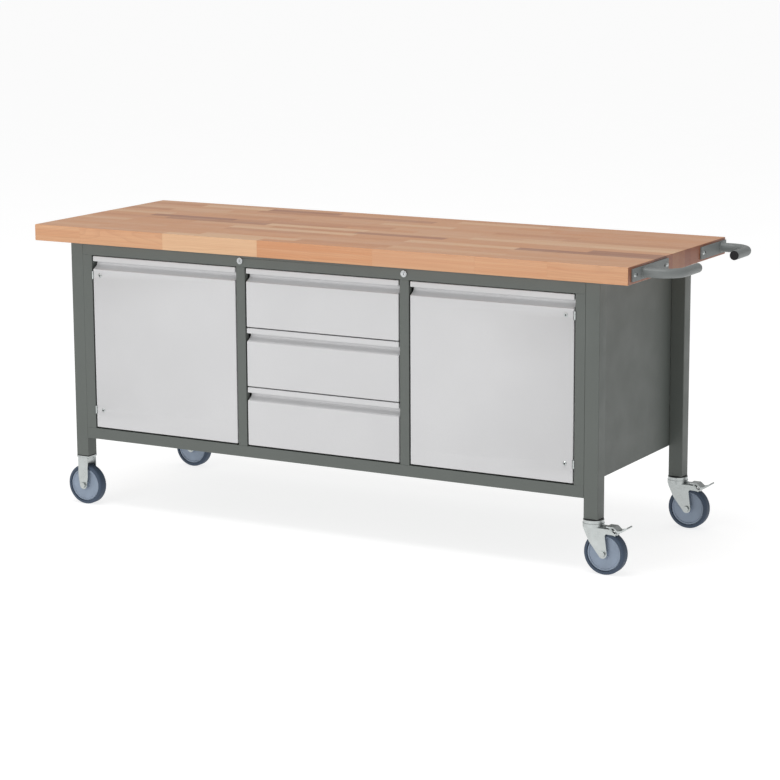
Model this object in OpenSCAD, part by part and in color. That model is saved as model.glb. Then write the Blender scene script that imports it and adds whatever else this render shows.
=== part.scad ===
// Mobile workbench: timber worktop on a steel frame, two cupboards with hinged doors, three
// drawers on telescopic runners, two push handles, two fixed and two braked swivel casters.
// Millimetres. X runs along the bench, Y from its front to its back, Z up from the floor.

/* [Worktop] */
// Length of the worktop
top_l = 2000; // [1900:20:2200]
// Depth of the worktop
top_d = 700; // [690:10:760]
// Thickness of the worktop
top_t = 50; // [40:1:60]
// Height of the working surface above the floor
bench_h = 880; // [870:5:930]

/* [Frame] */
// Side of the square posts
post_w = 44; // [42:1:50]
// Wall of the square posts
post_wall = 2.5; // [2:0.5:4]
// Worktop overhang past the left posts
overhang_left = 116; // [80:1:140]
// Worktop overhang past the right posts
overhang_right = 95; // [60:1:120]
// Worktop overhang past the frame, front and back
overhang_front = 27; // [20:1:30]
// Front to back depth of the rails and stiles
rail_d = 25; // [22:1:28]
// Height of the upper rails
top_rail_h = 37; // [34:1:44]
// Height of the lower rails
low_rail_h = 34; // [30:1:44]
// Height of the cupboard floor above the ground
body_bottom = 250; // [240:1:260]
// Width of the stile beside the left posts
stile_left = 33; // [28:1:40]
// Width of the stile beside the right posts
stile_right = 30; // [28:1:40]
// Width of the two mullions between the bays
mullion_w = 30; // [30:1:36]
// Thickness of the sheet steel
sheet = 1.5; // [1.2:0.1:1.6]

/* [Doors and drawers] */
// Gap at each side of a door or drawer front
side_gap = 4; // [4:0.5:5]
// Gap above the fronts
end_gap = 2.5; // [2:0.5:4]
// Gap below the fronts
bottom_gap = 4.5; // [2:0.5:5]
// Gap between two drawer fronts
drawer_gap = 3; // [2:0.5:4]
// Depth of the folded fronts
front_d = 24; // [23.5:0.5:26]
// Height of the lip above the grip channel
lip_h = 16; // [12:1:20]
// Depth of the grip channel
grip_d = 21; // [18:0.5:21]
// Distance from the top of a front to the lower edge of its grip channel
grip_h = 41; // [38:1:46]
// Length of the drawer boxes
drawer_l = 560; // [520:5:560]
// Height of the drawer boxes
drawer_box_h = 120; // [110:1:125]

/* [Push handles] */
// Reach of the handles past the worktop
handle_reach = 116; // [100:1:130]
// Outer diameter of the handle tube
handle_dia = 27; // [22:1:30]
// Bend radius of the handle tube at its centre line
handle_bend = 62; // [45:1:65]

/* [Casters] */
// Wheel diameter
wheel_dia = 125; // [125:1:126]
// Wheel width
wheel_w = 32; // [28:1:32]
// Height of a whole caster
caster_h = 155; // [155:1:158]
// Trail of the swivel casters
trail = 38.5; // [36:0.5:40]

/* [Hidden] */
$fn = 48;

// Colours
timber = [0.80, 0.60, 0.45];
frame_grey = [0.36, 0.38, 0.36];
front_grey = [0.82, 0.83, 0.84];
handle_grey = [0.50, 0.52, 0.52];
zinc = [0.78, 0.79, 0.78];
black = [0.06, 0.06, 0.06];
rim_grey = [0.55, 0.60, 0.67];
tyre_blue = [0.22, 0.28, 0.36];

// Places that several parts share
x_left = -(top_l + handle_reach) / 2;
x_right = x_left + top_l;
y_front = -top_d / 2;
y_back = top_d / 2;
z_under = bench_h - top_t;
post_x = [x_left + overhang_left + post_w / 2, x_right - overhang_right - post_w / 2];
post_y = [y_front + overhang_front + post_w / 2, y_back - overhang_front - post_w / 2];
body_x = [post_x[0] + post_w / 2, post_x[1] - post_w / 2];
face_y = y_front + overhang_front;
rear_y = y_back - overhang_front;
face_in = face_y + rail_d;
rear_in = rear_y - rail_d;
open_z = [body_bottom, z_under - top_rail_h];
end_plate_t = 3;
bay_w = (body_x[1] - body_x[0] - stile_left - stile_right - 2 * mullion_w) / 3;
front_w = bay_w - 2 * side_gap;
door_h = open_z[1] - open_z[0] - end_gap - bottom_gap;
drawer_h = (door_h - 2 * drawer_gap) / 3;
part_in = face_y + 45;
panel_y = rear_y - 4;
eps = 0.5;
slack = 0.05;

function bay_x(i) = body_x[0] + stile_left + i * (bay_w + mullion_w);
function mullion_x(i) = bay_x(i) + bay_w + mullion_w / 2;
function drawer_z(i) = open_z[0] + bottom_gap + i * (drawer_h + drawer_gap);
function arc(c, r, a0, a1, n) =
    [for (i = [0:n]) c + r * [cos(a0 + (a1 - a0) * i / n), sin(a0 + (a1 - a0) * i / n)]];

// A box from its low and high values along each axis
module block(x, y, z) {
    translate([x[0], y[0], z[0]]) cube([x[1] - x[0], y[1] - y[0], z[1] - z[0]]);
}

// A round bar along X, Y or Z, from a to b, centred on c in the other two axes
module bar_x(r, a, b, c) { translate([a, c[0], c[1]]) rotate([0, 90, 0]) cylinder(r = r, h = b - a); }
module bar_y(r, a, b, c) { translate([c[0], b, c[1]]) rotate([90, 0, 0]) cylinder(r = r, h = b - a); }
module bar_z(r, a, b, c) { translate([c[0], c[1], a]) cylinder(r = r, h = b - a); }

// Open-ended rectangular tubes
tube_wall = 2;
module tube_x(x, y, z) {
    difference() {
        block(x, y, z);
        block([x[0] - 1, x[1] + 1], y + [tube_wall, -tube_wall], z + [tube_wall, -tube_wall]);
    }
}
module tube_z(x, y, z) {
    difference() {
        block(x, y, z);
        block(x + [tube_wall, -tube_wall], y + [tube_wall, -tube_wall], [z[0] - 1, z[1] + 1]);
    }
}

// ---- Worktop ----
top_screw_x = [for (i = [0:3]) body_x[0] + 60 + i * (body_x[1] - body_x[0] - 120) / 3];
top_screw_y = [(face_y + face_in) / 2, (rear_y + rear_in) / 2];
top_screw_r = 3;
top_screw_l = 30;
handle_screw_r = 2.5;
handle_screw_l = 30;

module worktop() {
    color(timber) difference() {
        block([x_left, x_right], [y_front, y_back], [z_under, bench_h]);
        for (x = top_screw_x, y = top_screw_y)
            bar_z(top_screw_r + slack, z_under - 1, z_under + top_screw_l, [x, y]);
        for (h = [0, 1], y = handle_screw_y(h))
            bar_x(handle_screw_r + slack, x_right - handle_screw_l, x_right + 1, [y, handle_z]);
    }
}

// Wood screws that come up through the upper rails
module worktop_screws() {
    head_h = 5;
    head_r = 6;
    color(zinc) for (x = top_screw_x, y = top_screw_y) {
        bar_z(top_screw_r, z_under - tube_wall - head_h, z_under + top_screw_l, [x, y]);
        bar_z(head_r, z_under - tube_wall - head_h, z_under - tube_wall, [x, y]);
    }
}

// ---- Posts ----
post_round = 2;
module rounded_square(w, r) {
    square([w - 2 * r, w], center = true);
    square([w, w - 2 * r], center = true);
    for (i = [-1, 1], j = [-1, 1]) translate([i * (w / 2 - r), j * (w / 2 - r)]) circle(r);
}

module post(x, y) {
    translate([x, y, caster_h + end_plate_t])
        linear_extrude(z_under - caster_h - end_plate_t) difference() {
            rounded_square(post_w, post_round);
            square(post_w - 2 * post_wall, center = true);
        }
}

module posts(side) {
    color(frame_grey) for (y = post_y) post(post_x[side], y);
}

module post_end_plates() {
    color(black) for (x = post_x, y = post_y)
        translate([x, y, caster_h]) linear_extrude(end_plate_t) rounded_square(post_w, post_round);
}

// ---- Face frame ----
lock_z = open_z[1] + top_rail_h / 2 - 0.5;
lock_barrel_r = 8;

module front_rail_top() {
    color(frame_grey) difference() {
        tube_x(body_x, [face_y, face_in], [open_z[1], z_under]);
        for (x = top_screw_x)
            bar_z(top_screw_r + slack, z_under - tube_wall - 1, z_under + 1, [x, top_screw_y[0]]);
        for (i = [0, 1])
            bar_y(lock_barrel_r + slack, face_y - 1, face_in + 1, [mullion_x(i), lock_z]);
    }
}

module front_rail_bottom() {
    color(frame_grey) tube_x(body_x, [face_y, face_in], [body_bottom - low_rail_h, body_bottom]);
}

// The stiles are notched for the hinge knuckles
module front_stiles() {
    color(frame_grey) {
        difference() {
            tube_z([body_x[0], bay_x(0)], [face_y, face_in], open_z);
            for (z = hinge_z) hinge_notch(bay_x(0), z);
        }
        difference() {
            tube_z([bay_x(2) + bay_w, body_x[1]], [face_y, face_in], open_z);
            for (z = hinge_z) hinge_notch(bay_x(2) + bay_w, z);
        }
    }
}

mullion_d = 20;
module front_mullions() {
    color(frame_grey) for (i = [0, 1])
        tube_z([mullion_x(i) - mullion_w / 2, mullion_x(i) + mullion_w / 2],
               [face_y, face_y + mullion_d], open_z);
}

module rear_rails() {
    color(frame_grey) {
        difference() {
            tube_x(body_x, [rear_in, rear_y], [open_z[1], z_under]);
            for (x = top_screw_x)
                bar_z(top_screw_r + slack, z_under - tube_wall - 1, z_under + 1,
                      [x, top_screw_y[1]]);
        }
        tube_x(body_x, [rear_in, rear_y], [body_bottom, body_bottom + low_rail_h]);
    }
}

// ---- Cabinet sheets ----
module cabinet_side(side) {
    x = side == 0 ? [body_x[0], body_x[0] + sheet] : [body_x[1] - sheet, body_x[1]];
    color(frame_grey) block(x, [face_in, rear_in], [body_bottom, z_under]);
}

module cabinet_back() {
    color(frame_grey)
        block(body_x, [panel_y, panel_y + sheet], [body_bottom + low_rail_h, open_z[1]]);
}

module cabinet_floor() {
    color(frame_grey)
        block(body_x + [sheet, -sheet], [face_in, rear_in], [body_bottom, body_bottom + sheet]);
}

// Sheet on each side of the drawer bay, which carries the runners
module partition_walls() {
    walls = [[bay_x(1) - sheet, bay_x(1)], [bay_x(1) + bay_w, bay_x(1) + bay_w + sheet]];
    color(frame_grey) for (x = walls) block(x, [part_in, rear_in], [body_bottom + sheet, z_under]);
}

// ---- Shelves on studs ----
pin_r = 3;
pin_l = 12;
pin_y = [part_in + 60, rear_in - 60];
shelf_z = 525;
pin_z = shelf_z - pin_r;
shelf_lip = 24;

module shelf(x) {
    y = [part_in + 3, rear_in - 6];
    block(x, y, [shelf_z, shelf_z + sheet]);
    block(x, [y[0], y[0] + sheet], [shelf_z - shelf_lip, shelf_z + sheet]);
    block(x, [y[1] - sheet, y[1]], [shelf_z - shelf_lip, shelf_z + sheet]);
}

module shelves() {
    color(frame_grey) {
        shelf([body_x[0] + sheet + 1, bay_x(1) - sheet - 1]);
        shelf([bay_x(1) + bay_w + sheet + 1, body_x[1] - sheet - 1]);
    }
}

module shelf_pins() {
    starts = [body_x[0] + sheet, bay_x(1) - sheet - pin_l,
              bay_x(1) + bay_w + sheet, body_x[1] - sheet - pin_l];
    color(zinc) for (x = starts, y = pin_y) bar_x(pin_r, x, x + pin_l, [y, pin_z]);
}

// ---- Folded fronts with a grip channel ----
// Points are [depth behind the face, height]; inset moves the outline to the sheet's inner face
edge_r = 2.5;
grip_r = 8;
function front_outline(h, inset) =
    let (
        c = [grip_d - grip_r, h - lip_h - grip_r],
        low = [0, h - grip_h],
        slope = atan2(c[1] - low[1], c[0]) - asin(grip_r / norm(c - low)),
        back = inset > 0 ? front_d + 1 : front_d
    )
    concat(
        [[back, inset]],
        arc([edge_r, edge_r], edge_r - inset, 270, 180, 4),
        [[inset, h - grip_h - inset * tan((90 - slope) / 2)]],
        arc(c, grip_r + inset, slope - 90, 90, 10),
        [[inset, h - lip_h + inset]],
        arc([edge_r, h - edge_r], edge_r - inset, 180, 90, 4),
        [[back, h - inset]]
    );

module along_x(x) {
    translate([x[0], 0, 0]) rotate([90, 0, 90]) linear_extrude(x[1] - x[0]) children();
}

module folded_front(w, h) {
    difference() {
        along_x([0, w]) polygon(front_outline(h, 0));
        along_x([sheet, w - sheet]) polygon(front_outline(h, sheet));
    }
}

// A front with its low left corner at the origin, its face at y = 0
rim_w = 12;
module door_panel() {
    y = [front_d - sheet, front_d];
    folded_front(front_w, door_h);
    block([sheet / 2, rim_w], y, [sheet / 2, door_h - sheet / 2]);
    block([front_w - rim_w, front_w - sheet / 2], y, [sheet / 2, door_h - sheet / 2]);
    block([sheet / 2, front_w - sheet / 2], y, [sheet / 2, rim_w]);
    block([sheet / 2, front_w - sheet / 2], y, [door_h - rim_w, door_h - sheet / 2]);
}

// Hat-section stiffener on the inside of a door
module door_stiffener() {
    x = [front_w / 2 - 25, front_w / 2 + 25];
    z = [rim_w + 2, door_h - grip_h - rim_w];
    block([x[0], x[0] + sheet], [sheet, front_d - 4], z);
    block([x[1] - sheet, x[1]], [sheet, front_d - 4], z);
    block(x, [front_d - 4 - sheet, front_d - 4], z);
}

// ---- Doors: u runs from the hinge side of the bay, 0 at the stile ----
module in_bay(side) {
    if (side == 0) translate([bay_x(0), face_y, 0]) children();
    if (side == 1) translate([bay_x(2) + bay_w, face_y, 0]) mirror([1, 0, 0]) children();
}

hinge_z = [309, 731];
hinge_u = side_gap / 2;
hinge_v = 1;
knuckle_r = 3;
hinge_pin_r = 2;
hinge_h = 24;
knuckle_h = hinge_h / 3;
strap_t = 2;
strap_u = 43;
strap_screw_u = 29;
strap_screw_r = 3;
notch_gap = 1.3;
notch_d = 4.5;

module hinge_notch(x, z) {
    reach = knuckle_r + notch_gap - hinge_u;
    block([x - reach, x + reach], [face_y - 1, face_y + notch_d],
          [z - hinge_h / 2 - eps, z + hinge_h / 2 + eps]);
}

module door(side) {
    color(front_grey) in_bay(side) difference() {
        translate([side_gap, 0, drawer_z(0)]) {
            door_panel();
            door_stiffener();
        }
        for (z = hinge_z) {
            block([side_gap - 1, side_gap + sheet + slack], [-1, notch_d],
                  [z - hinge_h / 2 - eps, z + hinge_h / 2 + eps]);
            bar_y(strap_screw_r + slack, -1, sheet + 1, [strap_screw_u, z]);
        }
    }
}

// Strap and middle knuckle, with the screw that clamps the strap to the door
module door_hinges(side) {
    half = hinge_h / 2;
    mid = knuckle_h / 2 - 0.2;
    head_r = 6.5;
    color(zinc) in_bay(side) for (z = hinge_z) {
        difference() {
            union() {
                bar_z(knuckle_r, z - mid, z + mid, [hinge_u, hinge_v]);
                block([hinge_u, side_gap + 2], [sheet, sheet + strap_t], [z - mid, z + mid]);
                block([side_gap + 2, strap_u], [sheet, sheet + strap_t], [z - half, z + half]);
            }
            bar_z(hinge_pin_r + slack, z - half, z + half, [hinge_u, hinge_v]);
            bar_y(strap_screw_r + slack, 0, 5, [strap_screw_u, z]);
        }
        bar_y(strap_screw_r, -1, 7, [strap_screw_u, z]);
        translate([strap_screw_u, 0, z]) rotate([90, 0, 0]) cylinder(r1 = head_r, r2 = 4.5, h = 2.2);
    }
}

// Frame leaf with two knuckles, and the pin
module hinge_brackets() {
    half = hinge_h / 2;
    leaf_t = 1.6;
    color(zinc) for (side = [0, 1]) in_bay(side) for (z = hinge_z) {
        difference() {
            union() {
                for (s = [[-half, -knuckle_h / 2 - 0.2], [knuckle_h / 2 + 0.2, half]]) {
                    bar_z(knuckle_r, z + s[0], z + s[1], [hinge_u, hinge_v]);
                    block([0, leaf_t], [hinge_v, 6], z * [1, 1] + s);
                }
                block([0, leaf_t], [knuckle_r + 1.5, rail_d - 3], [z - half, z + half]);
            }
            bar_z(hinge_pin_r + slack / 2, z - half - 1, z + half + 1, [hinge_u, hinge_v]);
        }
        bar_z(hinge_pin_r, z - half, z + half, [hinge_u, hinge_v]);
    }
}

// ---- Locks: a turning plug moves a bar whose tabs drop behind the strikes ----
lock_flange_r = 10;
lock_flange_t = 4;
plug_r = 6;
key_slot_w = 1.6;
key_slot_d = 6;
crank_r = 8.5;
crank_w = 6;
crank_eye_r = 3.5;
crank_t = 3;
crank_y = [face_in + 4, face_in + 4 + crank_t];
lock_bar_y = [crank_y[1] + 1, crank_y[1] + 5];
crank_pin_r = 2;
bar_half = 6;
bar_drop = 12;
tab_h = 8;
strike_y = lock_bar_y[1] + 2;
door_strike_z = 520;
function drawer_strike_z(i) = drawer_z(i) + 125;

module lock_bodies() {
    color(zinc) for (i = [0, 1]) difference() {
        union() {
            bar_y(lock_flange_r, face_y - lock_flange_t, face_y, [mullion_x(i), lock_z]);
            bar_y(lock_barrel_r, face_y - 1, face_in + 3, [mullion_x(i), lock_z]);
        }
        bar_y(plug_r + slack, face_y - 10, face_in + 10, [mullion_x(i), lock_z]);
    }
}

// Plug with its key slot in front and a crank behind
module lock_plug(i) {
    a = crank_r * cos(45);
    front = face_y - lock_flange_t - 0.5;
    color(zinc) translate([mullion_x(i), 0, lock_z]) {
        difference() {
            bar_y(plug_r, front, crank_y[0] + 1, [0, 0]);
            block(key_slot_w / 2 * [-1, 1], [front - 1, front + key_slot_d], [-4, 4]);
        }
        translate([0, crank_y[1], 0]) rotate([90, 0, 0]) linear_extrude(crank_t) {
            circle(plug_r + 1);
            rotate(45) translate([0, -crank_w / 2]) square([crank_r, crank_w]);
            translate([a, a]) circle(crank_eye_r);
        }
        bar_y(crank_pin_r, crank_y[1] - 1, lock_bar_y[1] + 1, [a, a]);
    }
}

module lock_bar_plate(i, low_z) {
    x = mullion_x(i);
    head_z = [lock_z - 8, lock_z + 14];
    difference() {
        union() {
            block([x - bar_half, x + bar_half], lock_bar_y, [low_z, head_z[1]]);
            block([x - bar_half, x + 13.5], lock_bar_y, head_z);
        }
        block([x + 3.4, x + 11.2], lock_bar_y + [-1, 1],
              [1, 1] * (lock_z + crank_r * sin(45)) + [-1, 1] * (crank_pin_r + eps));
    }
}

// A tab reaches from the bar to dx; its lower edge rests 1 mm above the strike
module lock_tab(i, dx, z) {
    x = mullion_x(i);
    block(dx < 0 ? [x + dx, x] : [x, x + dx], lock_bar_y, [z + 1, z + 1 + tab_h]);
}

module lock_bar_left() {
    color(zinc) {
        lock_bar_plate(0, 420);
        lock_tab(0, -31, door_strike_z);
    }
}

module lock_bar_right() {
    color(zinc) {
        lock_bar_plate(1, drawer_strike_z(0) - 30);
        lock_tab(1, 31, door_strike_z);
        for (i = [0:2]) lock_tab(1, -24, drawer_strike_z(i));
    }
}

// Staples behind the mullions that guide the bars
module lock_bar_guides() {
    outer = bar_half + 4;
    color(zinc) for (i = [0, 1], z = [480, 640]) difference() {
        block([mullion_x(i) - outer, mullion_x(i) + outer],
              [face_y + mullion_d, lock_bar_y[1] + 3], [z, z + 15]);
        block([mullion_x(i) - bar_half - eps, mullion_x(i) + bar_half + eps],
              [face_y + mullion_d + 2, lock_bar_y[1] + eps], [z - 1, z + 16]);
    }
}

// Catch with an upturned lip, which the bar's tab holds
strike_w = 11;
module strike(y0) {
    t = 2;
    z = -bar_drop - 4;
    block([0, t], [y0, y0 + 6], [z, 0]);
    block([0, strike_w], [y0, strike_y + t - face_y], [z, z + t]);
    block([0, strike_w], [strike_y - face_y, strike_y + t - face_y], [z, 0]);
}

module door_strike(side) {
    color(zinc) in_bay(side) translate([side_gap + front_w - sheet, 0, door_strike_z])
        mirror([1, 0, 0]) strike(front_d);
}

// ---- Drawers ----
box_wall = 1.2;
runner_gap = 13;
runner_h = 45;
runner_z = 40;
runner_y = [part_in + 2, rear_in - 8];
box_y = [face_y + front_d, face_y + front_d + drawer_l];
box_low = 8;

module drawer_front(i) {
    color(front_grey) translate([bay_x(1) + side_gap, face_y, drawer_z(i)])
        folded_front(front_w, drawer_h);
}

// Both sides of the drawer bay, seen from the wall: x runs into the bay
module each_runner(i) {
    translate([bay_x(1), 0, drawer_z(i) + runner_z]) children();
    translate([bay_x(1) + bay_w, 0, drawer_z(i) + runner_z]) mirror([1, 0, 0]) children();
}

module channel(x_web, x_lip, half, y) {
    web = x_web < x_lip ? [x_web, x_web + 1.5] : [x_web - 1.5, x_web];
    span = x_web < x_lip ? [x_web, x_lip] : [x_lip, x_web];
    block(web, y, [-half, half]);
    for (s = [[-half, 1.5 - half], [half - 1.5, half]]) block(span, y, s);
}

module runner_rails() {
    color(zinc) for (i = [0:2]) each_runner(i) channel(0, 9, runner_h / 2, runner_y);
}

module runner_slide(i) {
    color(zinc) each_runner(i) channel(4, 11, runner_h / 2 - 5.5, runner_y - [0, 20]);
}

// Box with its inner runner members and its lock strike
module drawer_box(i) {
    x = [bay_x(1) + runner_gap, bay_x(1) + bay_w - runner_gap];
    z = [drawer_z(i) + box_low, drawer_z(i) + box_low + drawer_box_h];
    color(zinc) {
        difference() {
            block(x, box_y, z);
            block(x + [box_wall, -box_wall], box_y + [box_wall, -box_wall],
                  [z[0] + box_wall, z[1] + 1]);
        }
        each_runner(i) channel(runner_gap, 7, runner_h / 2 - 10.5, runner_y - [0, 20]);
        translate([x[1], face_y, drawer_strike_z(i)]) strike(front_d + 2);
    }
}

// ---- Push handles ----
handle_z = bench_h - top_t / 2;
handle_r = handle_dia / 2;
handle_wall = 2.5;
plate_t = 4;
plate_h = 36;
run_x = x_right + handle_reach - handle_r;
plate_y = [[y_front + 21, y_front + 269], [y_back - 193, y_back - 3]];
root_y = [y_front + 95, y_back - 41];
tip_y = [y_front + 240, y_back - 186];
function handle_screw_y(h) = [plate_y[h][0] + 16, plate_y[h][1] - 12];

module handle_sweep(h, r, past) {
    s = h == 0 ? 1 : -1;
    translate([0, root_y[h], handle_z]) mirror([0, s < 0 ? 1 : 0, 0]) {
        bar_x(r, x_right + plate_t - past, run_x - handle_bend, [0, 0]);
        translate([run_x - handle_bend, handle_bend, 0])
            rotate([0, 0, -90]) rotate_extrude(angle = 90) translate([handle_bend, 0]) circle(r);
        bar_y(r, handle_bend, abs(tip_y[h] - root_y[h]) + past, [run_x, 0]);
    }
}

module handle(h) {
    hole_r = 4;
    color(handle_grey) {
        difference() {
            block([x_right, x_right + plate_t], plate_y[h], [1, 1] * handle_z + [-1, 1] * plate_h / 2);
            for (y = handle_screw_y(h))
                bar_x(handle_screw_r + slack, x_right - 1, x_right + plate_t + 1, [y, handle_z]);
            for (y = handle_screw_y(h) + [15, -15])
                bar_x(hole_r, x_right - 1, x_right + plate_t + 1, [y, handle_z]);
        }
        difference() {
            handle_sweep(h, handle_r, 0);
            handle_sweep(h, handle_r - handle_wall, 1);
        }
    }
}

module handle_caps() {
    color(black) for (h = [0, 1]) {
        s = h == 0 ? 1 : -1;
        plug = [tip_y[h] - s * 12, tip_y[h]];
        disc = [tip_y[h], tip_y[h] + s * 2];
        bar_y(handle_r - handle_wall - slack, min(plug), max(plug), [run_x, handle_z]);
        bar_y(handle_r, min(disc), max(disc), [run_x, handle_z]);
    }
}

module handle_screws() {
    x = x_right + plate_t;
    color(zinc) for (h = [0, 1], y = handle_screw_y(h)) {
        bar_x(handle_screw_r, x_right - handle_screw_l, x + 1, [y, handle_z]);
        translate([x, y, handle_z]) rotate([0, 90, 0]) cylinder(r1 = 6, r2 = 4, h = 3);
    }
}

// ---- Casters ----
wheel_r = wheel_dia / 2;
axle_r = 5;
rim_r = 52;
hub_r = 13;
hub_w = 38;
leg_y = [hub_w / 2 + 1.5, hub_w / 2 + 4.5];
fork_t = 4;

// Wheel centre, from the corner's side and row
function wheel_x(side) = post_x[side] + (side == 1 ? trail : 0);

module at_wheel(side, row) {
    translate([wheel_x(side), post_y[row], wheel_r]) rotate([90, 0, 0]) children();
}

// Hub, dished web and a raised ring inside the tyre
module wheel(side, row) {
    half = hub_w / 2;
    web = 11;
    rim = 13.5;
    lip = 1.5;
    dish = [[hub_r, web], [rim_r - 7, web], [rim_r - 5.5, rim], [rim_r - 2, rim],
            [rim_r - 1, rim - lip], [rim_r, rim - lip]];
    near = [for (p = dish) [p[0], -p[1]]];
    far = [for (i = [len(dish) - 1:-1:0]) dish[i]];
    color(rim_grey) at_wheel(side, row) rotate_extrude($fn = 96) polygon(concat(
        [[axle_r + slack, -half], [hub_r, -half]], near, far,
        [[hub_r, half], [axle_r + slack, half]]
    ));
}

module tyre(side, row) {
    c = 7;
    half = wheel_w / 2;
    color(tyre_blue) at_wheel(side, row) rotate_extrude($fn = 96) difference() {
        union() {
            translate([rim_r, -half]) square([wheel_r - rim_r - c, wheel_w]);
            translate([rim_r, c - half]) square([wheel_r - rim_r, wheel_w - 2 * c]);
            for (s = [-1, 1]) translate([wheel_r - c, s * (half - c)]) circle(c);
        }
        translate([0, -half - 1]) square([rim_r, wheel_w + 2]);
    }
}

// Two copies of a leg outline, drawn in x and z, on both sides of a wheel
module fork_legs() {
    for (y = [-leg_y[0], leg_y[1]])
        translate([0, y, 0]) rotate([90, 0, 0]) linear_extrude(leg_y[1] - leg_y[0]) children();
}

module axle_bolt(x) {
    head = 6;
    bar_y(axle_r, -leg_y[1] - 1, leg_y[1] + 1, [x, wheel_r]);
    for (y = [-leg_y[1], leg_y[1] + head])
        translate([x, y, wheel_r]) rotate([90, 0, 0]) cylinder(r = 9, h = head, $fn = 6);
}

module fixed_caster_forks() {
    half = 17.5;
    tip = 13;
    crown_z = caster_h - 2 * fork_t;
    plate = 22;
    bolt = [17, 14];
    bolt_r = 5.5;
    color(zinc) for (y = post_y) translate([post_x[0], y, 0]) {
        fork_legs() difference() {
            union() {
                polygon([[-half, crown_z + 1], [-half, 90], [-tip, wheel_r],
                         [tip, wheel_r], [half, 90], [half, crown_z + 1]]);
                translate([0, wheel_r]) circle(tip);
            }
            translate([0, wheel_r]) circle(axle_r + slack / 2);
        }
        block([-half, half], leg_y[1] * [-1, 1], [crown_z, crown_z + fork_t]);
        block([-plate, plate], [-plate, plate], [crown_z + fork_t, caster_h]);
        axle_bolt(0);
        for (i = [-1, 1], j = [-1, 1]) translate([i * bolt[0], j * bolt[1], crown_z - 1])
            cylinder(r = bolt_r, h = 5, $fn = 6);
    }
}

ring_z = [135.5, caster_h - 9.3];
king_r = 6;
crown_t = 6;
module swivel_caster_heads() {
    color(zinc) for (y = post_y) translate([post_x[1], y, 0]) {
        bar_z(30, ring_z[1] + 0.3, caster_h, [0, 0]);
        bar_z(king_r, ring_z[0] - crown_t - 6, caster_h - 1, [0, 0]);
        translate([0, 0, ring_z[0] - crown_t - 7.3]) cylinder(r = 9, h = 7, $fn = 6);
    }
}

pedal_pivot = [62, 131];
pedal_pin_r = 3;
module swivel_fork(row) {
    crown = [-20, 40];
    color(zinc) translate([post_x[1], post_y[row], 0]) {
        difference() {
            union() {
                fork_legs() difference() {
                    union() {
                        polygon([[-22, ring_z[0]], [-20, 128], [-4, 95], [trail - 12, 57],
                                 [trail + 13, wheel_r], [trail + 6, 116], [trail + 10, 121],
                                 [70, 120], [76, 118], [76, 124], [60, ring_z[0]]]);
                        translate([trail, wheel_r]) circle(13);
                        translate(pedal_pivot) circle(6);
                    }
                    translate([trail, wheel_r]) circle(axle_r + slack / 2);
                    translate(pedal_pivot) circle(pedal_pin_r + slack / 2);
                }
                block(crown, leg_y[1] * [-1, 1], [ring_z[0] - crown_t, ring_z[0]]);
                bar_z(31, ring_z[0] - 1, ring_z[1], [0, 0]);
            }
            bar_z(king_r + slack, 120, caster_h, [0, 0]);
        }
        bar_y(pedal_pin_r, -leg_y[1] - 1, leg_y[1] + 1, pedal_pivot);
    }
}

module swivel_axle(row) {
    color(zinc) translate([post_x[1], post_y[row], 0]) axle_bolt(trail);
}

// Stepped pedal with two cheeks on the pivot and a brake shoe over the tyre
module brake_pedal(row) {
    half = 17;
    cheek = [half - 2.5, half];
    tip_r = 2.5;
    tip = [108.5, 141.5];
    color(zinc) translate([post_x[1], post_y[row], 0]) difference() {
        union() {
            translate([0, half, 0]) rotate([90, 0, 0]) linear_extrude(2 * half) {
                polygon([[46, 141.5], [68, 141.5], [80, 131.5], [92, 134], tip + [-1.5, 2],
                         tip + [1.5, -2], [93.5, 129], [79, 126.5], [66, 137.5], [46, 137.5]]);
                translate(tip) circle(tip_r);
            }
            for (y = [-cheek[0], cheek[1]]) translate([0, y, 0]) rotate([90, 0, 0])
                linear_extrude(cheek[1] - cheek[0]) {
                    translate(pedal_pivot) circle(6);
                    translate([56, 131]) square([12, 8]);
                }
            block([71, 77], [-10, 10], [117.6, 130]);
        }
        bar_y(pedal_pin_r + slack, -half - 1, half + 1, pedal_pivot);
    }
}

worktop();
worktop_screws();
posts(0);  // posts_left
posts(1);  // posts_right
post_end_plates();
front_rail_top();
front_rail_bottom();
front_stiles();
front_mullions();
rear_rails();
cabinet_side(0);  // cabinet_side_left
cabinet_side(1);  // cabinet_side_right
cabinet_back();
cabinet_floor();
partition_walls();
shelves();
shelf_pins();
runner_rails();
lock_bodies();
lock_bar_guides();
hinge_brackets();
handle(0);  // handle_front
handle(1);  // handle_rear
handle_caps();
handle_screws();
fixed_caster_forks();
swivel_caster_heads();
door(0);  // door_left
door(1);  // door_right
door_hinges(0);  // door_hinges_left
door_hinges(1);  // door_hinges_right
door_strike(0);  // door_strike_left
door_strike(1);  // door_strike_right
drawer_front(0);  // drawer_front_bottom
drawer_front(1);  // drawer_front_middle
drawer_front(2);  // drawer_front_top
drawer_box(0);  // drawer_box_bottom
drawer_box(1);  // drawer_box_middle
drawer_box(2);  // drawer_box_top
runner_slide(0);  // runner_slide_bottom
runner_slide(1);  // runner_slide_middle
runner_slide(2);  // runner_slide_top
lock_plug(0);  // lock_plug_left
lock_plug(1);  // lock_plug_right
lock_bar_left();
lock_bar_right();
wheel(0, 0);  // wheel_front_left
wheel(0, 1);  // wheel_rear_left
wheel(1, 0);  // wheel_front_right
wheel(1, 1);  // wheel_rear_right
tyre(0, 0);  // tyre_front_left
tyre(0, 1);  // tyre_rear_left
tyre(1, 0);  // tyre_front_right
tyre(1, 1);  // tyre_rear_right
swivel_fork(0);  // swivel_fork_front
swivel_fork(1);  // swivel_fork_rear
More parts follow.
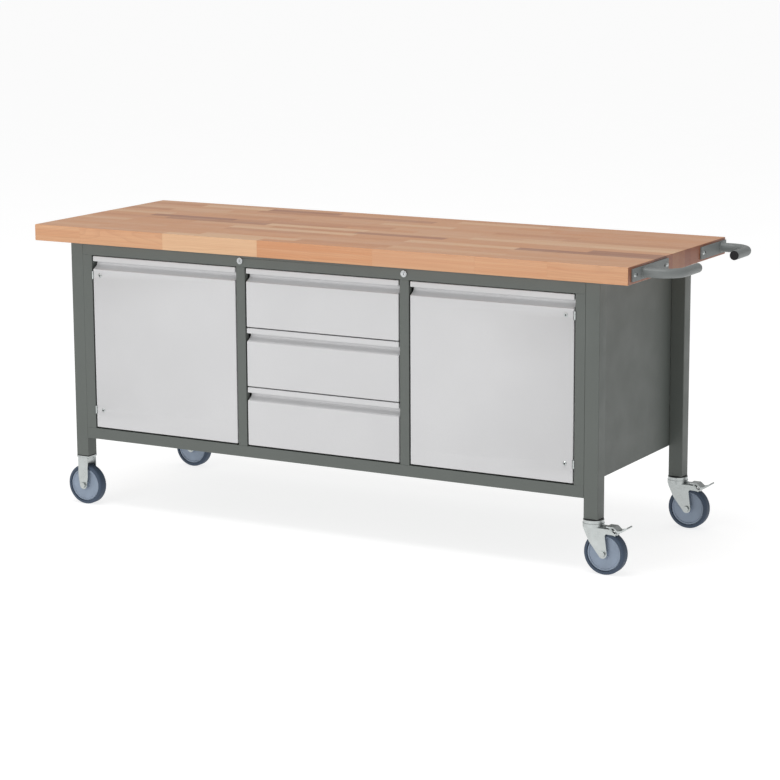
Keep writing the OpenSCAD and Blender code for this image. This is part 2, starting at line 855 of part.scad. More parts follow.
swivel_axle(0);  // swivel_axle_front
swivel_axle(1);  // swivel_axle_rear
brake_pedal(0);  // brake_pedal_front
brake_pedal(1);  // brake_pedal_rear
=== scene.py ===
import math
import random

import bmesh
import bpy
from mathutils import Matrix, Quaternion, Vector

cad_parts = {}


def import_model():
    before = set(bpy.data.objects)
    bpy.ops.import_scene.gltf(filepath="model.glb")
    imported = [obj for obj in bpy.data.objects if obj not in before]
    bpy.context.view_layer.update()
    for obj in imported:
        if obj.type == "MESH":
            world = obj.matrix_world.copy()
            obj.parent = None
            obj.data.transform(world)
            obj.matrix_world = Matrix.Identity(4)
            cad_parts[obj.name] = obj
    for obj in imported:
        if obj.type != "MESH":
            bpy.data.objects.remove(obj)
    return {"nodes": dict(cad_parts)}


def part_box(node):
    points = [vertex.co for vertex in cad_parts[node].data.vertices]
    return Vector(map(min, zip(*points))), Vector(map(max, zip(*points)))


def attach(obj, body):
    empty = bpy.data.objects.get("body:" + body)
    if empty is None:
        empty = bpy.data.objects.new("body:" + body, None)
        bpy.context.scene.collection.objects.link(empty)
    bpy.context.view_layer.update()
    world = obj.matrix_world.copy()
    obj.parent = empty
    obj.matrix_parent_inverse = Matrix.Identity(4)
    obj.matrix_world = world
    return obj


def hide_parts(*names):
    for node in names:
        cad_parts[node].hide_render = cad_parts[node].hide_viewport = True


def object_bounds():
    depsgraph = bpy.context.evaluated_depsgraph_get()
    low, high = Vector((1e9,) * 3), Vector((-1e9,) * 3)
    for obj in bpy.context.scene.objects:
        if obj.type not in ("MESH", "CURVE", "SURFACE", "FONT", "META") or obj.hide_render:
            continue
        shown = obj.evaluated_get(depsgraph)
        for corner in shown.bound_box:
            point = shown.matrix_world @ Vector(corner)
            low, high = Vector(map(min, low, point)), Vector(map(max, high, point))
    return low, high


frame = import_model()
cad_low, cad_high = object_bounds()
MM = 0.001


# ---- Small helpers ----
def srgb(red, green, blue):
    """A colour given as 0 to 255 display values, as linear red, green, blue and alpha."""
    def linear(value):
        share = value / 255
        return share / 12.92 if share <= 0.04045 else ((share + 0.055) / 1.055) ** 2.4
    return (linear(red), linear(green), linear(blue), 1.0)


def scaled(colour, factor):
    return tuple(channel * factor for channel in colour[:3]) + (1.0,)


def mesh_object(name, bm):
    """A smooth-shaded object named name from a bmesh, which is freed."""
    mesh = bpy.data.meshes.new(name)
    bm.to_mesh(mesh)
    bm.free()
    mesh.polygons.foreach_set("use_smooth", [True] * len(mesh.polygons))
    made = bpy.data.objects.new(name, mesh)
    bpy.context.scene.collection.objects.link(made)
    return made


def modifier(piece, kind, **settings):
    made = piece.modifiers.new(kind.lower(), kind)
    for key, value in settings.items():
        setattr(made, key, value)
    return made


def soften(piece, width, segments=2, angle=35):
    """Rounds every edge sharper than angle degrees, and keeps the flat faces flat to the light."""
    modifier(piece, "BEVEL", width=width, segments=segments, limit_method="ANGLE",
             angle_limit=math.radians(angle), harden_normals=True)


class Shader:
    """A material under construction. Each call adds one node."""

    def __init__(self, name):
        self.material = bpy.data.materials.new(name)
        self.material.use_nodes = True
        self.tree = self.material.node_tree
        self.tree.nodes.clear()

    def add(self, kind, inputs=None, **settings):
        node = self.tree.nodes.new("ShaderNode" + kind)
        for key, value in settings.items():
            setattr(node, key, value)
        for key, value in (inputs or {}).items():
            if isinstance(value, bpy.types.NodeSocket):
                self.tree.links.new(value, node.inputs[key])
            else:
                node.inputs[key].default_value = value
        return node

    def place(self, stretch=(1, 1, 1), shift=None):
        """Object coordinates in metres, scaled by stretch, after the vector shift is added."""
        vector = self.add("TexCoord").outputs["Object"]
        if shift is not None:
            vector = self.vector("ADD", vector, shift)
        return self.add("Mapping", {"Vector": vector, "Scale": stretch}).outputs["Vector"]

    def vector(self, operation, a, b):
        return self.add("VectorMath", {0: a, 1: b}, operation=operation).outputs["Vector"]

    def maths(self, operation, a, b=0.0, clamp=False):
        node = self.add("Math", {0: a, 1: b}, operation=operation, use_clamp=clamp)
        return node.outputs["Value"]

    def noise(self, vector, scale, detail=3.0, roughness=0.5, distortion=0.0):
        inputs = {"Vector": vector, "Scale": scale, "Detail": detail,
                  "Roughness": roughness, "Distortion": distortion}
        return self.add("TexNoise", inputs).outputs["Fac"]

    def remap(self, value, low, high, to_low, to_high):
        inputs = {"Value": value, "From Min": low, "From Max": high,
                  "To Min": to_low, "To Max": to_high}
        return self.add("MapRange", inputs).outputs["Result"]

    def mix(self, factor, a, b, blend="MIX"):
        node = self.add("Mix", {0: factor, 6: a, 7: b}, data_type="RGBA", blend_type=blend)
        return node.outputs[2]

    def ramp(self, value, stops):
        node = self.add("ValToRGB", {"Fac": value})
        elements = node.color_ramp.elements
        while len(elements) < len(stops):
            elements.new(0.5)
        for element, (position, colour) in zip(elements, stops):
            element.position = position
            element.color = colour
        return node.outputs["Color"]

    def bump(self, height, strength, distance, normal=None):
        inputs = {"Height": height, "Strength": strength, "Distance": distance}
        if normal is not None:
            inputs["Normal"] = normal
        return self.add("Bump", inputs).outputs["Normal"]

    def edges(self, radius):
        """0 on open faces, rising to 1 along edges and folds."""
        rounded = self.add("Bevel", {"Radius": radius}, samples=4).outputs["Normal"]
        own = self.add("NewGeometry").outputs["Normal"]
        facing = self.add("VectorMath", {0: rounded, 1: own}, operation="DOT_PRODUCT")
        return self.remap(facing.outputs["Value"], 0.995, 0.90, 0.0, 1.0)

    def close(self, **inputs):
        """Ends the material in a Principled shader; underscores stand for spaces in socket names."""
        inputs = {key.replace("_", " "): value for key, value in inputs.items()}
        shader = self.add("BsdfPrincipled", inputs)
        self.add("OutputMaterial", {"Surface": shader.outputs["BSDF"]})
        return self.material


# ---- Materials ----
def powder_coat(name, colour, grain=1.0, roughness=0.5):
    """Baked powder paint: orange-peel skin, faint clouding, a little polish and wear on the edges."""
    s = Shader(name)
    place = s.place()
    cloud = s.noise(place, 5.0, 4.0)
    speck = s.noise(place, 900.0, 2.0)
    worn = s.maths("MULTIPLY", s.edges(1.6 * MM), s.remap(s.noise(place, 60.0, 5.0), 0.45, 0.7, 0, 1))
    tint = s.mix(s.remap(cloud, 0.3, 0.7, 0, 1), scaled(colour, 0.965), scaled(colour, 1.035))
    tint = s.mix(s.remap(speck, 0.35, 0.65, 0, 1), scaled(colour, 0.97), tint)
    tint = s.mix(s.maths("MULTIPLY", worn, 0.35), tint, scaled(colour, 1.5))
    gloss = s.remap(s.noise(place, 14.0, 4.0), 0.3, 0.7, roughness - 0.05, roughness + 0.06)
    peel = s.bump(s.noise(place, 420.0, 2.0), 0.10 * grain, 0.4 * MM)
    skin = s.bump(s.noise(place, 1500.0, 1.0), 0.08 * grain, 0.2 * MM, peel)
    return s.close(Base_Color=tint, Roughness=gloss, Normal=skin)


def plated_steel(name, colour, roughness, streak, spread):
    """Zinc or chrome plating: drawn streaks, small scratches and patches of duller metal."""
    s = Shader(name)
    place = s.place()
    patch = s.noise(place, 38.0, 5.0, 0.6)
    drawn = s.noise(s.place(streak), 90.0, 3.0, 0.7)
    scratch = s.noise(s.place((30, 400, 400)), 2.0, 4.0, 0.8)
    tint = s.mix(s.remap(patch, 0.3, 0.7, 0, 1), scaled(colour, 0.84), colour)
    tint = s.mix(s.remap(drawn, 0.35, 0.7, 0, 0.35), tint, scaled(colour, 0.7))
    tint = s.mix(s.maths("MULTIPLY", s.edges(0.8 * MM), 0.4), tint, scaled(colour, 1.1))
    gloss = s.remap(s.maths("ADD", patch, s.maths("MULTIPLY", drawn, 0.5)),
                    0.5, 1.0, roughness - spread, roughness + spread)
    rough = s.bump(drawn, 0.08, 0.2 * MM)
    lines = s.bump(scratch, 0.05, 0.1 * MM, rough)
    return s.close(Base_Color=tint, Metallic=1.0, Roughness=gloss, Normal=lines)


def galvanised():
    """Sheet from the coil with its zinc spangle."""
    s = Shader("galvanised_sheet")
    place = s.place()
    ragged = s.add("TexNoise", {"Vector": place, "Scale": 60.0}).outputs["Color"]
    warped = s.vector("ADD", place, s.vector("MULTIPLY", ragged, (0.008, 0.008, 0.008)))
    cells = s.add("TexVoronoi", {"Vector": warped, "Scale": 70.0})
    flake = s.add("SeparateColor", {"Color": cells.outputs["Color"]}).outputs["Red"]
    colour = srgb(176, 182, 184)
    tint = s.mix(flake, scaled(colour, 0.78), scaled(colour, 1.06))
    tint = s.mix(s.remap(s.noise(place, 3.0), 0.35, 0.7, 0, 0.3), tint, scaled(colour, 0.7))
    gloss = s.remap(flake, 0.0, 1.0, 0.32, 0.5)
    rolled = s.bump(s.noise(s.place((8, 300, 300)), 2.0, 3.0), 0.06, 0.2 * MM)
    return s.close(Base_Color=tint, Metallic=1.0, Roughness=gloss, Normal=rolled)


def moulded(name, colour, roughness, grain_scale, grain_depth):
    """Moulded plastic or rubber: fine grain, soft clouding, paler scuffs along the edges."""
    s = Shader(name)
    place = s.place()
    cloud = s.noise(place, 22.0, 4.0, 0.6)
    scuff = s.maths("MULTIPLY", s.edges(1.5 * MM), s.remap(s.noise(place, 130.0, 4.0), 0.4, 0.65, 0, 1))
    tint = s.mix(s.remap(cloud, 0.3, 0.7, 0, 1), scaled(colour, 0.88), scaled(colour, 1.1))
    tint = s.mix(s.maths("MULTIPLY", scuff, 0.35), tint, scaled(colour, 1.8))
    gloss = s.remap(cloud, 0.3, 0.7, roughness - 0.06, roughness + 0.08)
    grain = s.bump(s.noise(place, grain_scale, 2.0), 0.2, grain_depth)
    return s.close(Base_Color=tint, Roughness=gloss, Normal=grain)


RINGS_PER_METRE = 310.0
BANDS_PER_METRE = 55.0


def beech():
    """Oiled beech staves. Each stave has its own tone, place in the tree and distance from the pith."""
    s = Shader("beech")
    shift = s.add("Attribute", attribute_name="shift").outputs["Vector"]
    pith = s.add("Attribute", attribute_name="pith").outputs["Vector"]
    tone = s.add("Attribute", attribute_name="tone").outputs["Fac"]
    wander = s.add("TexNoise", {"Vector": s.place((2.2, 9, 9), shift), "Scale": 1.0, "Detail": 2.0})
    bend = s.vector("MULTIPLY", s.vector("SUBTRACT", wander.outputs["Color"], (0.5, 0.5, 0.5)),
                    (0, 0.045, 0.045))
    ringed = s.vector("ADD", s.vector("SUBTRACT", s.place(), pith), bend)
    across = s.vector("MULTIPLY", ringed, (0, 1, 1))
    radius = s.add("VectorMath", {0: across}, operation="LENGTH").outputs["Value"]
    year = s.maths("FRACT", s.maths("MULTIPLY", radius, RINGS_PER_METRE))
    late = s.maths("POWER", year, 3.0)
    outwards = s.add("CombineXYZ", {"X": s.maths("MULTIPLY", radius, BANDS_PER_METRE)})
    bands = s.noise(outwards.outputs["Vector"], 1.0, 3.0, 0.7)
    fibre = s.noise(s.place((6, 700, 700), shift), 1.0, 3.0, 0.6)
    streak = s.noise(s.place((1.6, 110, 110), shift), 1.0, 3.0, 0.6)
    dash = s.add("TexVoronoi", {"Vector": s.place((240, 1500, 1500), shift), "Scale": 1.0})
    fleck = s.remap(dash.outputs["Distance"], 0.26, 0.12, 0.0, 1.0)

    base = s.ramp(tone, [(0.0, srgb(218, 178, 138)), (0.3, srgb(204, 152, 112)),
                         (0.6, srgb(200, 138, 92)), (1.0, srgb(148, 95, 68))])
    tint = s.mix(s.remap(bands, 0.35, 0.7, 0.0, 0.30), base, srgb(184, 128, 92))
    tint = s.mix(s.remap(streak, 0.4, 0.75, 0.0, 0.28), tint, srgb(222, 190, 150))
    tint = s.mix(s.maths("MULTIPLY", late, 0.16), tint, srgb(150, 96, 66))
    tint = s.mix(s.remap(fibre, 0.45, 0.75, 0.0, 0.22), tint, srgb(160, 108, 76))
    tint = s.mix(s.maths("MULTIPLY", fleck, 0.20), tint, srgb(126, 78, 52))

    pores = s.noise(s.place((900, 900, 900), shift), 1.0, 2.0)
    cut = s.mix(1.0, base, srgb(184, 148, 128), "MULTIPLY")
    cut = s.mix(s.maths("MULTIPLY", late, 0.45), cut, srgb(96, 56, 38))
    cut = s.mix(s.remap(pores, 0.4, 0.7, 0.0, 0.35), cut, srgb(88, 52, 36))
    normal = s.add("TexCoord").outputs["Normal"]
    along = s.add("SeparateXYZ", {"Vector": normal}).outputs["X"]
    is_end = s.remap(s.maths("ABSOLUTE", along), 0.6, 0.8, 0.0, 1.0)
    tint = s.mix(is_end, tint, cut)

    gloss = s.remap(s.maths("ADD", fibre, s.noise(s.place(), 11.0)), 0.7, 1.3, 0.40, 0.56)
    grain = s.bump(fibre, 0.10, 0.3 * MM)
    pitted = s.bump(fleck, 0.06, 0.2 * MM, grain)
    return s.close(Base_Color=tint, Roughness=gloss, Normal=pitted,
                   Coat_Weight=0.2, Coat_Roughness=0.25)


MATERIALS = {
    "beech": beech(),
    "frame_paint": powder_coat("frame_paint", srgb(88, 93, 89)),
    "front_paint": powder_coat("front_paint", srgb(200, 200, 201), 0.7, 0.46),
    "handle_paint": powder_coat("handle_paint", srgb(118, 122, 121)),
    "zinc_steel": plated_steel("zinc_steel", srgb(194, 199, 198), 0.32, (20, 20, 3), 0.10),
    "galvanised_sheet": galvanised(),
    "lock_chrome": plated_steel("lock_chrome", srgb(190, 193, 194), 0.22, (30, 3, 30), 0.06),
    "black_plastic": moulded("black_plastic", srgb(12, 12, 13), 0.62, 700.0, 0.3 * MM),
    "wheel_plastic": moulded("wheel_plastic", srgb(132, 145, 162), 0.46, 500.0, 0.3 * MM),
    "tyre_rubber": moulded("tyre_rubber", srgb(56, 70, 88), 0.66, 350.0, 0.5 * MM),
}


# ---- CAD nodes that keep their shape ----
REPLACED = {"worktop", "door_left", "door_right",
            "drawer_front_bottom", "drawer_front_middle", "drawer_front_top"}
EDGE = {"frame_paint": 0.8, "front_paint": 0.4, "handle_paint": 0.5, "zinc_steel": 0.5,
        "galvanised_sheet": 0.3, "lock_chrome": 0.6, "black_plastic": 0.5,
        "wheel_plastic": 0.9, "tyre_rubber": 0.6}
THIN_EDGE = 0.3
THIN = {"cabinet_back", "cabinet_floor", "cabinet_side_left", "cabinet_side_right",
        "partition_walls", "shelves", "runner_rails", "lock_bar_guides"}


def dress_cad_nodes():
    for name, node in frame["nodes"].items():
        slot = node.data.materials[0].name.split(".")[0]
        node.data.materials[0] = MATERIALS[slot]
        if name in REPLACED:
            continue
        if "custom_normal" in node.data.attributes:
            node.data.attributes.remove(node.data.attributes["custom_normal"])
        node.data.polygons.foreach_set("use_smooth", [True] * len(node.data.polygons))
        modifier(node, "WELD", merge_threshold=0.00001)
        soften(node, (THIN_EDGE if name in THIN else EDGE[slot]) * MM)


# ---- Worktop ----
STAVE_ROWS = 16
FRONT_STAVES = [170, 305, 335, 390, 330, 226, 244]
FRONT_TONES = [0.36, 0.32, 0.05, 0.60, 0.34, 0.40, 0.42]
STAVE_LENGTH = (0.24, 0.46)
SHORTEST_END = 0.12
TONE_MIDDLE, TONE_SPREAD = 0.46, 0.26
PITH_AWAY = (0.04, 0.16)
EDGE_ROUND = 2.0 * MM
JOINT_ROUND = 0.07
BOX_FACES = (((0, 0, 0), (0, 1, 0), (1, 1, 0), (1, 0, 0)),
             ((0, 0, 1), (1, 0, 1), (1, 1, 1), (0, 1, 1)),
             ((0, 0, 0), (1, 0, 0), (1, 0, 1), (0, 0, 1)),
             ((0, 1, 0), (0, 1, 1), (1, 1, 1), (1, 1, 0)),
             ((0, 0, 0), (0, 0, 1), (0, 1, 1), (0, 1, 0)),
             ((1, 0, 0), (1, 1, 0), (1, 1, 1), (1, 0, 1)))


def stave_joints(rng, row, low, high):
    """Places along X where one stave of a row ends and the next begins."""
    joints = [low]
    if row == 0:
        total = sum(FRONT_STAVES)
        for length in FRONT_STAVES:
            joints.append(joints[-1] + (high - low) * length / total)
        return joints
    while high - joints[-1] > STAVE_LENGTH[1] + 0.1:
        shortest = SHORTEST_END if len(joints) == 1 else STAVE_LENGTH[0]
        joints.append(joints[-1] + rng.uniform(shortest, STAVE_LENGTH[1]))
    return joints + [high]


def worktop():
    rng = random.Random(7)
    low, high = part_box("worktop")
    width = (high.y - low.y) / STAVE_ROWS
    bm = bmesh.new()
    weight = bm.edges.layers.float.new("bevel_weight_edge")
    tone = bm.verts.layers.float.new("tone")
    shift = bm.verts.layers.float_vector.new("shift")
    pith = bm.verts.layers.float_vector.new("pith")
    for row in range(STAVE_ROWS):
        y = (low.y + row * width, low.y + (row + 1) * width)
        joints = stave_joints(rng, row, low.x, high.x)
        for index, x in enumerate(zip(joints, joints[1:])):
            corner = {(i, j, k): bm.verts.new((x[i], y[j], (low.z, high.z)[k]))
                      for i in (0, 1) for j in (0, 1) for k in (0, 1)}
            own_tone = (FRONT_TONES[index] if row == 0
                        else min(1.0, max(0.0, rng.gauss(TONE_MIDDLE, TONE_SPREAD))))
            own_shift = Vector([rng.uniform(-9, 9) for _ in range(3)])
            angle = rng.uniform(0, 2 * math.pi)
            away = rng.uniform(*PITH_AWAY)
            middle = Vector((0, (y[0] + y[1]) / 2, (low.z + high.z) / 2))
            own_pith = middle + Vector((0, math.cos(angle), math.sin(angle))) * away
            for vertex in corner.values():
                vertex[tone] = own_tone
                vertex[shift] = own_shift
                vertex[pith] = own_pith
            for face in BOX_FACES:
                bm.faces.new([corner[key] for key in face])
    for edge in bm.edges:
        ends = [vertex.co for vertex in edge.verts]
        on_side = [all(abs(co[axis] - limit) < 1e-6 for co in ends)
                   for axis in range(3) for limit in (low[axis], high[axis])]
        edge[weight] = 1.0 if sum(on_side) >= 2 else JOINT_ROUND
    top = mesh_object("worktop_staves", bm)
    modifier(top, "BEVEL", width=EDGE_ROUND, segments=3, limit_method="WEIGHT",
             harden_normals=True)
    top.data.materials.append(MATERIALS["beech"])
    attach(top, "bench")
    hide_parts("worktop")


# ---- Folded sheet fronts ----
FRONT_DEPTH = 24 * MM
SHEET = 1.5 * MM
FOLD = 2.5 * MM
LIP = 16 * MM
GRIP_DEPTH = 21 * MM
GRIP_ROUND = 8 * MM
GRIP_LOW = 41 * MM
RIM = 12 * MM
NOTCH_HALF = 12.5 * MM
NOTCH_DEPTH = 4.5 * MM
END_STEPS = 6
HAT_SECTION = [(-33, 1.6), (-25, 1.6), (-25, 20), (25, 20), (25, 1.6), (33, 1.6)]
HINGE_HEIGHTS = (309 * MM, 731 * MM)


def arc(centre, radius, start, end, steps):
    """Points [depth, height] round centre from start to end, in degrees."""
    angles = [math.radians(start + (end - start) * i / steps) for i in range(steps + 1)]
    return [(centre[0] + radius * math.cos(a), centre[1] + radius * math.sin(a)) for a in angles]


def front_outline(height, depth, inset, levels):
    """The fold from the back of the bottom flange to the back of the top one, inset inwards.
    levels are heights at which the flat face gets an extra point."""
    centre = (GRIP_DEPTH - GRIP_ROUND, height - LIP - GRIP_ROUND)
    rise = centre[1] - (height - GRIP_LOW)
    slope = math.degrees(math.atan2(rise, centre[0])
                         - math.asin(GRIP_ROUND / math.hypot(rise, centre[0])))
    turn = inset * math.tan(math.radians((90 - slope) / 2))
    bend = FOLD - inset
    return ([(depth, inset)] + arc((FOLD, FOLD), bend, 270, 180, 5)
            + [(inset, z) for z in levels]
            + [(inset, height - GRIP_LOW - turn)]
            + arc(centre, GRIP_ROUND + inset, slope - 90, 90, 14)
            + [(inset, height - LIP + inset)]
            + arc((FOLD, height - FOLD), bend, 180, 90, 5) + [(depth, height - inset)])


def add_grid(bm, rows, skip=lambda row, column: False):
    """Faces between rows of points; skip says which are left out."""
    verts = [[bm.verts.new(point) for point in row] for row in rows]
    for i in range(len(verts) - 1):
        for j in range(len(verts[0]) - 1):
            if not skip(i, j):
                bm.faces.new([verts[i][j], verts[i + 1][j], verts[i + 1][j + 1], verts[i][j + 1]])


def folded_front(cad_node, body, hinge_end=None, lined=False):
    """A front folded from one sheet: rounded edges, grip channel and side flanges.
    hinge_end is 0 or 1 for the end that is notched for the hinges."""
    low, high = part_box(cad_node)
    if lined:
        low.y = high.y - FRONT_DEPTH
    size = high - low
    levels = []
    if hinge_end is not None:
        levels = [z - low.z + side * NOTCH_HALF for z in HINGE_HEIGHTS for side in (-1, 1)]
    angles = [math.radians(90 * k / END_STEPS) for k in range(END_STEPS + 1)]
    ends = [(FOLD - FOLD * math.cos(a), FOLD - FOLD * math.sin(a)) for a in angles]
    stations = [(x, inset) for x, inset in ends]
    stations += [(size.x - x, inset) for x, inset in reversed(ends)]
    outlines = [front_outline(size.z, size.y, inset, levels) for _, inset in stations]
    flat = [j for j, point in enumerate(outlines[END_STEPS][:-1])
            if any(abs(point[1] - level) < 1e-7 for level in levels[0::2])]

    def notched(row, column):
        at_end = row < END_STEPS if hinge_end == 0 else row > len(stations) - 2 - END_STEPS
        return column in flat and at_end

    bm = bmesh.new()
    add_grid(bm, [[(low.x + x, low.y + d, low.z + z) for d, z in outline]
                  for (x, _), outline in zip(stations, outlines)], notched)
    for end, (x, outline) in enumerate(((low.x, outlines[0]), (high.x, outlines[-1]))):
        for j in range(1, len(outline) - 2):
            near = (outline[j], outline[j + 1])
            if abs(near[0][1] - near[1][1]) < 1e-7:
                continue
            start = NOTCH_DEPTH if end == hinge_end and j in flat else None
            front = [(start if start else d, z) for d, z in near]
            points = [(x, low.y + front[0][0], low.z + front[0][1]),
                      (x, low.y + front[1][0], low.z + front[1][1]),
                      (x, high.y, low.z + front[1][1]), (x, high.y, low.z + front[0][1])]
            bm.faces.new([bm.verts.new(p) for p in (points if end == 0 else reversed(points))])
    bmesh.ops.remove_doubles(bm, verts=bm.verts, dist=1e-6)
    bmesh.ops.dissolve_degenerate(bm, dist=1e-7, edges=bm.edges)
    skin = mesh_object(cad_node + "_skin", bm)
    soften(skin, 0.9 * MM, 3, 30)
    modifier(skin, "SOLIDIFY", thickness=SHEET, offset=-1, use_even_offset=True)
    skin.data.materials.append(MATERIALS["front_paint"])
    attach(skin, body)
    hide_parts(cad_node)
    if lined:
        door_liner(cad_node, body, low, high)


def door_liner(cad_node, body, low, high):
    """The rim folded round the back of a door, and the hat section that stiffens it."""
    bm = bmesh.new()
    half = SHEET / 2
    outer = [(low.x + half, low.z + half), (high.x - half, low.z + half),
             (high.x - half, high.z - half), (low.x + half, high.z - half)]
    inner = [(low.x + RIM, low.z + RIM), (high.x - RIM, low.z + RIM),
             (high.x - RIM, high.z - RIM), (low.x + RIM, high.z - RIM)]
    rings = [[(x, high.y, z) for x, z in ring + ring[:1]] for ring in (outer, inner)]
    add_grid(bm, rings)
    middle = (low.x + high.x) / 2
    heights = (low.z + RIM + 2 * MM, high.z - GRIP_LOW - RIM)
    add_grid(bm, [[(middle + x * MM, low.y + y * MM, z) for x, y in HAT_SECTION]
                  for z in heights])
    bmesh.ops.remove_doubles(bm, verts=bm.verts, dist=1e-6)
    liner = mesh_object(cad_node + "_liner", bm)
    soften(liner, 1.5 * MM, 3, 30)
    modifier(liner, "SOLIDIFY", thickness=SHEET, offset=-1)
    liner.data.materials.append(MATERIALS["front_paint"])
    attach(liner, body)


# ---- Welds round the handle roots ----
TUBE_RADIUS = 13.5 * MM
PLATE = 4 * MM
FRONT_ROOT = 95 * MM
REAR_ROOT = 41 * MM
BEAD = 1.8 * MM
BEAD_WAVES = 15


def weld_bead(name, y):
    """A rippled bead where a handle's tube meets its plate, y along the end of the worktop."""
    low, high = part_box("worktop")
    centre = (high.x + PLATE + 0.5 * MM, y, (low.z + high.z) / 2)
    bm = bmesh.new()
    rng = random.Random(name)
    turns, sides = BEAD_WAVES * 6, 8
    rows = []
    for i in range(turns + 1):
        a = 2 * math.pi * (i % turns) / turns
        ripple = 0.16 * math.sin(BEAD_WAVES * a) + 0.05 * rng.random() * (i % turns > 0)
        fat = BEAD * (1 + ripple)
        row = []
        for j in range(sides + 1):
            b = 2 * math.pi * (j % sides) / sides
            reach = TUBE_RADIUS + fat * math.cos(b)
            row.append((centre[0] + 0.8 * fat * math.sin(b), centre[1] + reach * math.cos(a),
                        centre[2] + reach * math.sin(a)))
        rows.append(row)
    add_grid(bm, rows)
    bmesh.ops.remove_doubles(bm, verts=bm.verts, dist=1e-6)
    bmesh.ops.recalc_face_normals(bm, faces=bm.faces)
    weld = mesh_object(name, bm)
    weld.data.materials.append(MATERIALS["handle_paint"])
    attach(weld, "bench")


# ---- Shallow hexagon sockets in the screws of the hinge straps, with painted shade ----
SIDE_GAP = 4 * MM
SCREW_INSET = 29 * MM
SCREW_HEAD = 2.15 * MM
SOCKET_TURN = 12
SOCKET_PROFILE = [(3.1, 0.0), (2.9, 0.25), (2.3, 0.25), (2.0, 0.05)]


def shaded_screw_sockets(cad_node, body, hinge_end):
    """Two shallow sockets on the heads of a door's strap screws, painted black as the shade inside a
    deep socket.
    """
    panel_low, panel_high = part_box(body)
    inset = SCREW_INSET - SIDE_GAP
    x = panel_low.x + inset if hinge_end == 0 else panel_high.x - inset
    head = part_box("front_rail_top")[0].y - SCREW_HEAD
    corners = [math.radians(60 * k + SOCKET_TURN) for k in range(6)]
    bm = bmesh.new()
    for z in HINGE_HEIGHTS:
        rings = [[bm.verts.new((x + radius * MM * math.cos(a), head - rise * MM,
                                z + radius * MM * math.sin(a))) for a in corners]
                 for radius, rise in SOCKET_PROFILE]
        for outer, inner in zip(rings, rings[1:]):
            for k in range(6):
                n = (k + 1) % 6
                bm.faces.new([outer[k], inner[k], inner[n], outer[n]])
        bm.faces.new(list(reversed(rings[-1])))
    bmesh.ops.recalc_face_normals(bm, faces=bm.faces)
    sockets = mesh_object(cad_node + "_sockets", bm)
    soften(sockets, 0.06 * MM, 2, 30)
    # The black paint is painted shade: it stands in for the dark inside of a deep hex socket.
    sockets.data.materials.append(MATERIALS["black_plastic"])
    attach(sockets, body)


# ---- Stage ----
FLOOR_HALF = 150.0
WORLD_STOPS = [(0.04, 0.95), (0.14, 0.42), (0.5, 0.40), (0.9, 0.55)]


def floor():
    """A pale, slightly glowing ground plane."""
    bm = bmesh.new()
    bmesh.ops.create_grid(bm, x_segments=4, y_segments=4, size=FLOOR_HALF)
    plane = mesh_object("floor", bm)
    s = Shader("floor")
    speck = s.noise(s.place(), 3.0, 4.0)
    tint = s.mix(speck, (0.39, 0.39, 0.39, 1), (0.41, 0.41, 0.41, 1))
    plane.data.materials.append(s.close(Base_Color=tint, Roughness=0.9, Specular_IOR_Level=0.0,
                                        Emission_Color=(1, 1, 1, 1), Emission_Strength=0.77))


def world():
    """A pale studio: a bright band along the floor, dim walls and a lighter ceiling."""
    made = bpy.data.worlds.new("studio")
    bpy.context.scene.world = made
    made.use_nodes = True
    tree = made.node_tree
    tree.nodes.clear()
    coordinates = tree.nodes.new("ShaderNodeTexCoord")
    split = tree.nodes.new("ShaderNodeSeparateXYZ")
    ramp = tree.nodes.new("ShaderNodeValToRGB")
    background = tree.nodes.new("ShaderNodeBackground")
    output = tree.nodes.new("ShaderNodeOutputWorld")
    while len(ramp.color_ramp.elements) < len(WORLD_STOPS):
        ramp.color_ramp.elements.new(0.5)
    for element, (position, level) in zip(ramp.color_ramp.elements, WORLD_STOPS):
        element.position = position
        element.color = (level, level, level, 1)
    tree.links.new(coordinates.outputs["Generated"], split.inputs["Vector"])
    tree.links.new(split.outputs["Z"], ramp.inputs["Fac"])
    tree.links.new(ramp.outputs["Color"], background.inputs["Color"])
    tree.links.new(background.outputs["Background"], output.inputs["Surface"])


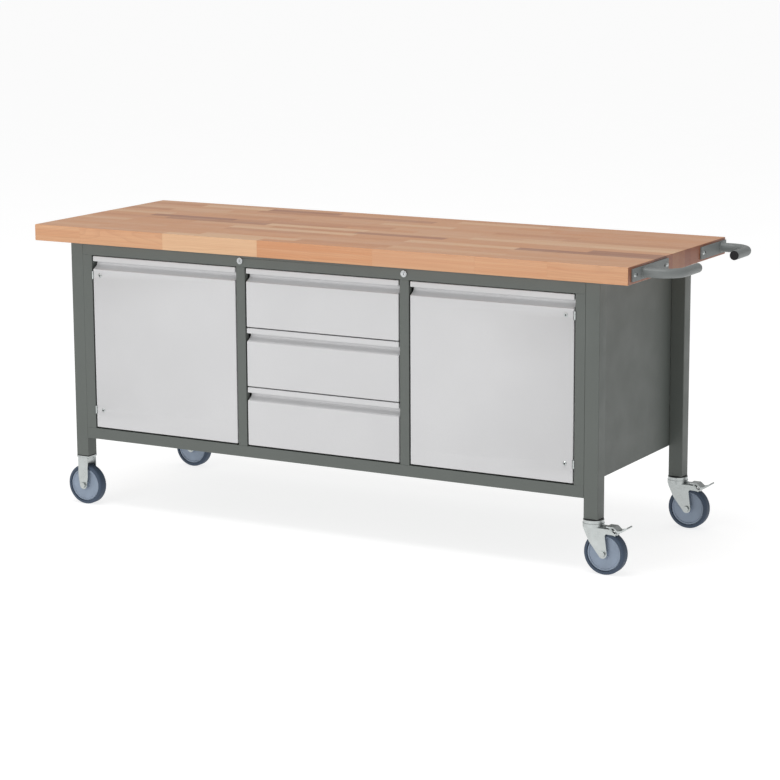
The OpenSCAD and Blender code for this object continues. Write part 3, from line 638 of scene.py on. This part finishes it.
def soft_light(name, azimuth, elevation, distance, size, power):
    """An area light that looks at the middle of the bench."""
    target = (cad_low + cad_high) / 2
    a, e = math.radians(azimuth), math.radians(elevation)
    back = Vector((math.sin(a) * math.cos(e), -math.cos(a) * math.cos(e), math.sin(e)))
    light = bpy.data.lights.new(name, "AREA")
    light.shape = "RECTANGLE"
    light.size, light.size_y = size
    light.energy = power
    lamp = bpy.data.objects.new(name, light)
    lamp.location = target + back * distance
    lamp.rotation_euler = (-back).to_track_quat("-Z", "Y").to_euler()
    lamp.visible_camera = False
    bpy.context.scene.collection.objects.link(lamp)


CAMERA_ANGLES = (29.37, 11.15, -0.28)
CAMERA_PLACE = (3.7013, -6.5729, 1.881)
CAMERA_LENS = 116.54


def camera():
    """Looks at the bench from the front and right, a little from above."""
    azimuth, elevation, roll = (math.radians(angle) for angle in CAMERA_ANGLES)
    back = Vector((math.sin(azimuth) * math.cos(elevation),
                   -math.cos(azimuth) * math.cos(elevation), math.sin(elevation)))
    data = bpy.data.cameras.new("camera")
    data.lens = CAMERA_LENS
    data.sensor_width = 36.0
    data.clip_end = 500.0
    made = bpy.data.objects.new("camera", data)
    made.location = CAMERA_PLACE
    made.rotation_mode = "QUATERNION"
    level = (-back).to_track_quat("-Z", "Y")
    made.rotation_quaternion = level @ Quaternion((0, 0, 1), roll)
    bpy.context.scene.collection.objects.link(made)
    bpy.context.scene.camera = made


dress_cad_nodes()
worktop()
folded_front("door_left", "door_left", 0, lined=True)
folded_front("door_right", "door_right", 1, lined=True)
for place in ("bottom", "middle", "top"):
    folded_front("drawer_front_" + place, "drawer_" + place)
shaded_screw_sockets("door_hinges_left", "door_left", 0)
shaded_screw_sockets("door_hinges_right", "door_right", 1)
weld_bead("weld_front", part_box("worktop")[0].y + FRONT_ROOT)
weld_bead("weld_rear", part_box("worktop")[1].y - REAR_ROOT)
floor()
world()
soft_light("key", -8, 78, 6.0, (4.0, 2.5), 165)
soft_light("fill", -14, 14, 6.0, (4.0, 2.5), 88)
camera()
bpy.context.scene.view_settings.view_transform = "Standard"
